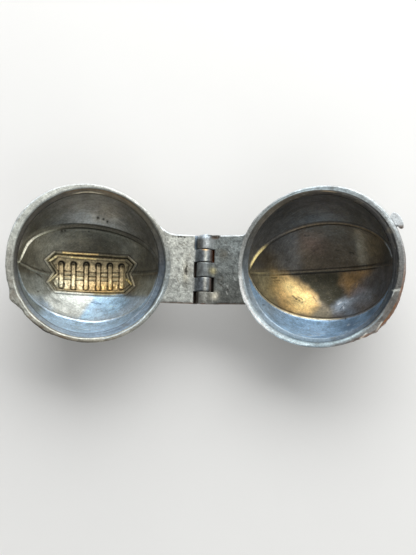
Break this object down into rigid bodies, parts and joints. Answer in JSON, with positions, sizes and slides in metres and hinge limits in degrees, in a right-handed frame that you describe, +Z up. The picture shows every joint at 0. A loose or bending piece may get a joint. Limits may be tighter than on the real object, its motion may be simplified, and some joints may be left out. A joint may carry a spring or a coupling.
{
  "type": "ice cream mould",
  "caption": "Hinged pewter ice cream mould: a laced half bowl and a plain one close into a hollow laced ball, with a stepped rim, a knuckle hinge and a thumb lug.",
  "frame": {"origin": "on the resting surface, under the middle of the hinge", "axes": "+X along the open length towards the plain half, +Y along the hinge towards the thumb lug's side, +Z up"},
  "size_m": [0.1708, 0.0696, 0.0403],
  "materials": {
    "laced_bowl_pewter": "aged satin pewter",
    "plain_bowl_pewter": "aged satin pewter",
    "laced_leaf_pewter": "pitted matt pewter",
    "plain_leaf_pewter": "pitted matt pewter",
    "pin_iron": "rusty iron",
    "lug_pewter": "worn matt pewter"
  },
  "bodies": {
    "laced_half": {"laced_bowl": "laced_bowl_pewter", "laced_hinge_leaf": "laced_leaf_pewter"},
    "plain_half": {"plain_bowl": "plain_bowl_pewter", "plain_hinge_leaf": "plain_leaf_pewter", "hinge_pin": "pin_iron", "thumb_lug": "lug_pewter"}
  },
  "joints": [
    {"name": "mould_hinge", "type": "hinge", "parent": "laced_half", "child": "plain_half", "pos_m": [0, 0, 0.02355], "axis": [0, -1, 0], "range_deg": [-48, 158]}
  ]
}
